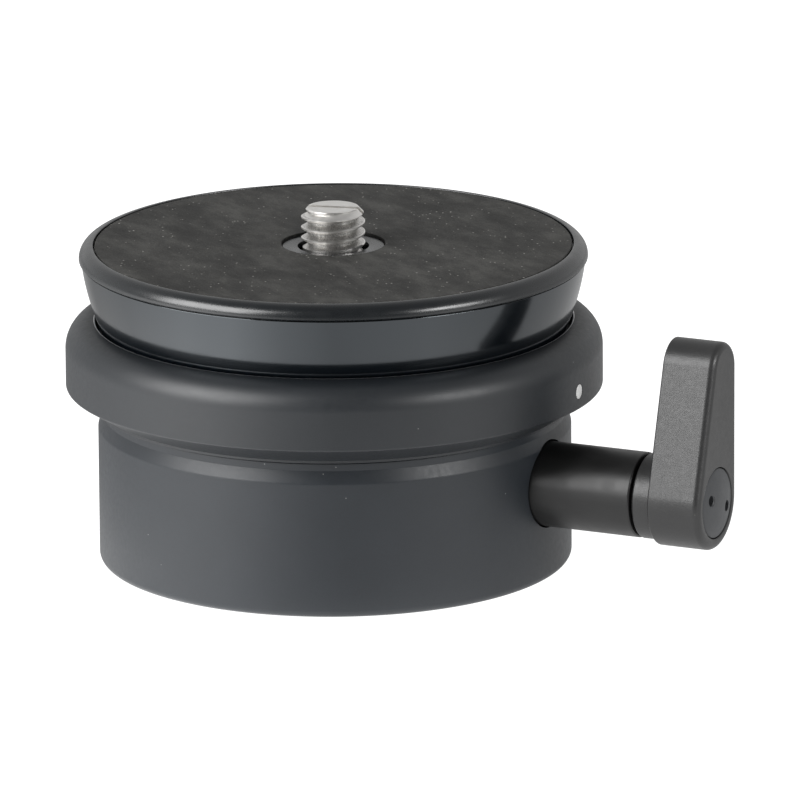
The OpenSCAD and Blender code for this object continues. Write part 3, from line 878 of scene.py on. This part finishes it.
columns, k = helix(rows, PITCH, 44.6, STUD_TOP, 0.65, N, stud_limit)
low = [circle_points(3.72, 44.6, N), circle_points(3.72, 40.5, N), circle_points(3.5, 40.2, N), [(0, 0, 40.2)]]
high = [circle_points(3.66, STUD_TOP, N), [(0, 0, STUD_TOP)]]
verts, faces, grid, vertex = from_columns("stud", columns, k, (high, low))
stud = solid("camera_stud_thread", verts, faces)
slot_cut = block((14.0, 1.0, 2.4), (0, 0, STUD_TOP), 14.0)
cut(stud, [slot_cut], 32)
piece(stud, "platform", "camera_stud", "stud")

# --------------------------------------------------------------------------
# lever
# --------------------------------------------------------------------------

AXIS = (0, 0, SHAFT_Z)
sleeve = turned("lever_sleeve_tube", rounded([
    (3.52, 32.3), (6.3, 32.3, 0.1), (6.3, 50.3, 0.3), (3.52, 50.3)]), 192, "X", AXIS, normals=False)
cut(sleeve, [rod(1.52, 0.0, SHAFT_Z, 40, "Z", (41.0, 0, 0))], 24)
piece(sleeve, "lever", "lever_sleeve", "sleeve")

grub = turned("sleeve_grub", rounded([
    (0, 8.58), (1.5, 8.58, 0.15), (1.5, 10.7), (1.1, 11.06), (0, 11.06)]), 48, "Z", (41.0, 0, 0), normals=False)
cut(grub, [prism(6, 0.75, 7.5, 9.7, (41.0, 0, 0), 20)], 24)
piece(grub, "lever", "sleeve_set_screw", "steel_dark")

washer = turned("thrust_washer_ring", rounded([
    (3.55, 50.3), (5.4, 50.3, 0.08), (5.4, 50.8, 0.08), (3.55, 50.8)]), 160, "X", AXIS)
piece(washer, "lever", "thrust_washer", "washer")

# teardrop arm with its hub: rings of points about the shaft, all with the same directions
TIP_Y, TIP_UP, ARM_R, TIP_R, HUB_R = 2.9, 19.3, 7.0, 4.2, 6.3
lean = math.atan2(TIP_UP, TIP_Y)
spread = math.acos((ARM_R - TIP_R) / math.hypot(TIP_Y, TIP_UP))
directions = [(lean - spread + 2 * spread * i / 48, True) for i in range(49)]
rest = 2 * math.pi - 2 * spread
directions += [(lean + spread + rest * i / 72, False) for i in range(73)]


def arm_ring(x, inset, least=0.0):
    loop = []
    for a, tip in directions:
        r = TIP_R - inset if tip else max(ARM_R - inset, least)
        y0, z0 = (TIP_Y, TIP_UP) if tip else (0.0, 0.0)
        loop.append((x, y0 + r * math.cos(a), SHAFT_Z + z0 + r * math.sin(a)))
    return loop


def hub_ring(x, r):
    return [(x, r * math.cos(a), SHAFT_Z + r * math.sin(a)) for a, tip in directions]


def flat_ring(x, r, half):
    """A round hole with two flats, across Y."""
    return [(x, max(-half, min(half, r * math.cos(a))), SHAFT_Z + r * math.sin(a)) for a, tip in directions]


FI, FO = 0.3, 1.05
arm_rings = [flat_ring(56.7, 3.52, 2.82), flat_ring(50.8, 3.52, 2.82), hub_ring(50.8, HUB_R - 0.2),
             hub_ring(50.86, HUB_R - 0.07), hub_ring(51.0, HUB_R), hub_ring(ARM_X, HUB_R)]
for i in range(9):
    a = math.radians(90 - 11.25 * i)
    arm_rings.append(arm_ring(ARM_X + FI * (1 - math.sin(a)), FI * (1 - math.cos(a)), HUB_R))
for i in range(11):
    a = math.radians(9 * i)
    arm_rings.append(arm_ring(ARM_END - FO * (1 - math.sin(a)), FO * (1 - math.cos(a))))
arm_rings += [hub_ring(61.75, 5.45), hub_ring(61.7, 5.33), hub_ring(61.57, 5.27), hub_ring(56.7, 5.27)]
arm = shade(lofted("lever_arm_teardrop", arm_rings), 24)
piece(arm, "lever", "lever_arm", "lever")

# crowned cap with the two holes of a pin spanner, and its shank in the shaft
CROWN, CAP_R = 22.0, 5.15
crown_x = ARM_END - 0.1 - math.sqrt(CROWN ** 2 - CAP_R ** 2)
crown = [(y, crown_x + math.sqrt(CROWN ** 2 - y * y)) for y in [5.0 * (1 - i / 16) for i in range(17)]]
cap = turned("lever_cap_screw",
             [(0, 46.0), (1.7, 46.0), (2.0, 46.3), (2.0, 56.75), (CAP_R, 56.75), (CAP_R, 61.5), (5.13, 61.58),
              (5.08, 61.64)] + crown, 160, "X", AXIS, normals=False)
pins = []
for s in (-1, 1):
    pins.append(turned("cutter", [(0, 59.45), (0.8, 59.45), (0.8, 61.95), (0.98, 62.13), (0.98, 63.0), (0, 63.0)],
                       40, "X", (0, s * 2.79, SHAFT_Z - s * 1.05), normals=False))
cut(cap, pins, 24)
piece(cap, "lever", "lever_cap", "cap")

# --------------------------------------------------------------------------
# the inner pieces keep their CAD shape
# --------------------------------------------------------------------------

for name, key in (("collar_screws", "steel_dark"), ("guide_sleeve", "bronze"), ("shaft_bush", "bronze_x"),
                  ("disc_spring", "steel_plain"), ("seat_liner", "liner"), ("clamp_liner", "liner"),
                  ("plate_screws", "steel_dark"), ("stud_set_screw", "steel_dark"), ("draw_piston", "steel_plain"),
                  ("draw_bolt", "steel_dark"), ("bolt_washer", "steel_plain"), ("clamp_dome", "shoe"),
                  ("cam_shaft", "steel_x")):
    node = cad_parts[name]
    if node.material_slots:
        for s in node.material_slots:
            s.material = M[key]
    else:
        node.data.materials.append(M[key])

# --------------------------------------------------------------------------
# floor and light
# --------------------------------------------------------------------------

floor_mesh = bpy.data.meshes.new("floor")
bm = bmesh.new()
bmesh.ops.create_circle(bm, cap_ends=True, segments=128, radius=9.0)
bm.to_mesh(floor_mesh)
bm.free()
floor_mesh.transform(Matrix.Translation((0, 0, -0.0001)))
floor = link("floor", floor_mesh)
# a white table lit from within, strongest on the left of the camera's side and
# fading out in front
fm = Nodes("floor_white")
fx, fy, fz = fm.split(fm.mapped(rotation=(0, 0, -AZ)))
way = fm.remap(fm.math("ARCTAN2", fx, fm.math("MULTIPLY", fy, -1.0)), -math.pi, math.pi, 0.0, 1.0)
reach = fm.math("SQRT", fm.math("ADD", fm.math("MULTIPLY", fx, fx), fm.math("MULTIPLY", fy, fy)))
GLOW = 3.0


def glow(levels):
    return fm.ramp(way, [((a + 180) / 360, (v / GLOW,) * 3) for a, v in levels])


close = glow([(-180, 0.20), (-135, 0.20), (-100, 0.60), (-64, 1.50), (-42, 2.10), (-20, 1.90), (0, 1.40), (25, 1.40),
              (50, 1.00), (75, 0.68), (110, 0.52), (140, 0.45), (180, 0.25)])
near = glow([(-180, 0.25), (-135, 0.25), (-100, 0.88), (-64, 2.00), (-42, 2.05), (-20, 1.25), (0, 0.82), (40, 1.05),
             (75, 0.68), (110, 0.52), (140, 0.45), (180, 0.25)])
far = glow([(-180, 0.25), (-135, 0.30), (-100, 1.10), (-64, 2.60), (-42, 1.60), (-25, 0.60), (-10, 0.10), (20, 0.10),
            (35, 0.45), (55, 1.20), (80, 0.55), (110, 0.40), (140, 0.40), (180, 0.25)])
table = fm.mix(fm.remap(reach, 0.037, 0.044, 0.0, 1.0, True), close, near)
table = fm.mix(fm.remap(reach, 0.15, 0.21, 0.0, 1.0, True), table, far)
seen = fm.add("ShaderNodeLightPath").outputs["Is Camera Ray"]
fm.set(base_color=fm.ramp(fm.noise(3.0, 2.0), [(0.3, (0.19, 0.19, 0.19)), (0.7, (0.21, 0.21, 0.21))]),
       roughness=0.9, specular_ior_level=0.1,
       emission_color=fm.mix(seen, table, (1.1 / GLOW,) * 3), emission_strength=GLOW)
floor.data.materials.append(fm.mat)


def softbox(name, azimuth, elevation, distance, size, power, target=(0, 0, 25), size_y=None):
    """A rectangular light; azimuth is counted from the camera, to the right."""
    a, e = math.radians(AZ + azimuth), math.radians(elevation)
    way = Vector((math.sin(a) * math.cos(e), -math.cos(a) * math.cos(e), math.sin(e)))
    data = bpy.data.lights.new(name, "AREA")
    data.shape = "RECTANGLE"
    data.size, data.size_y = size, size_y or size
    data.energy = power
    obj = bpy.data.objects.new(name, data)
    obj.rotation_mode = "QUATERNION"
    obj.rotation_quaternion = way.to_track_quat("Z", "Y")
    obj.location = Vector(target) * MM + way * distance
    scene.collection.objects.link(obj)
    return obj


softbox("key_left", -61, 29, 1.25, 1.04, 21.5, size_y=0.84)
softbox("fill_right", 55, 23, 1.3, 0.55, 7.0, size_y=0.32)

# surroundings: a pale backdrop near the horizon, dim overhead and behind the camera
world = bpy.data.worlds.new("studio")
world.use_nodes = True
scene.world = world
tree = world.node_tree


def world_node(kind, *inputs, **values):
    node = tree.nodes.new(kind)
    for key, value in values.items():
        setattr(node, key, value)
    for socket, source in zip(node.inputs, inputs):
        if hasattr(source, "is_output"):
            tree.links.new(source, socket)
        elif source is not None:
            socket.default_value = source
    return node


heading = world_node("ShaderNodeTexCoord").outputs["Generated"]
height = world_node("ShaderNodeSeparateXYZ", heading).outputs["Z"]
toward = world_node("ShaderNodeVectorMath", heading, (math.sin(az), -math.cos(az), 0.0), operation="DOT_PRODUCT").outputs["Value"]
lift = world_node("ShaderNodeValToRGB", height)
stops = lift.color_ramp.elements
levels = [(0.0, 0.66), (0.30, 0.64), (0.50, 0.58), (0.77, 0.48), (0.94, 0.34), (1.0, 0.30)]
while len(stops) < len(levels):
    stops.new(0.5)
for stop, (at, level) in zip(stops, levels):
    stop.position = at
    stop.color = (level, level, level * 1.02, 1.0)
turn = world_node("ShaderNodeMapRange", toward, -0.3, 0.75, 1.0, 0.24).outputs[0]
level = world_node("ShaderNodeMath", lift.outputs["Color"], turn, operation="MULTIPLY").outputs[0]
seen = world_node("ShaderNodeLightPath").outputs["Is Camera Ray"]
background = tree.nodes["Background"]
tree.links.new(world_node("ShaderNodeMath", level, seen, operation="MAXIMUM").outputs[0], background.inputs["Color"])
background.inputs["Strength"].default_value = 1.0
scene.view_settings.view_transform = "Standard"

# --------------------------------------------------------------------------

bpy.context.view_layer.update()
